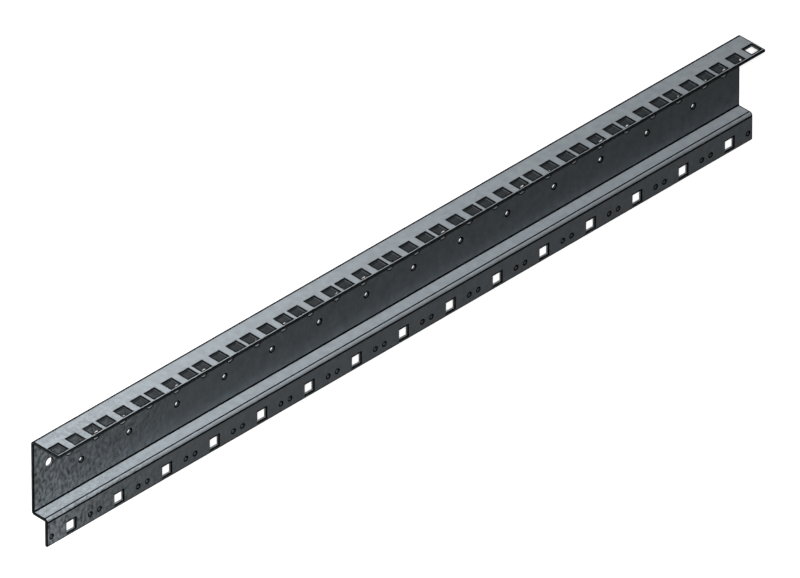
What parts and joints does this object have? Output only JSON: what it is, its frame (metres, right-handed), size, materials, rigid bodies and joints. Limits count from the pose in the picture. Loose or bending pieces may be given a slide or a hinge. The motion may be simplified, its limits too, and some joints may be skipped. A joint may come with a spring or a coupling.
{
  "type": "rack rail",
  "caption": "Folded steel rack rail with square cage-nut holes along its top flange, a drilled web and a stepped lower flange with windows.",
  "frame": {"origin": "middle of the bottom of the bounding box, on the plane of the web's back", "axes": "+X along the rail, +Y across the web towards the flange with the square holes, +Z away from the web's back, the way both flanges are folded"},
  "size_m": [0.6668, 0.0794, 0.026],
  "materials": {
    "steel": "satin"
  },
  "bodies": {
    "root": {"rack_rail": "steel"}
  },
  "joints": []
}
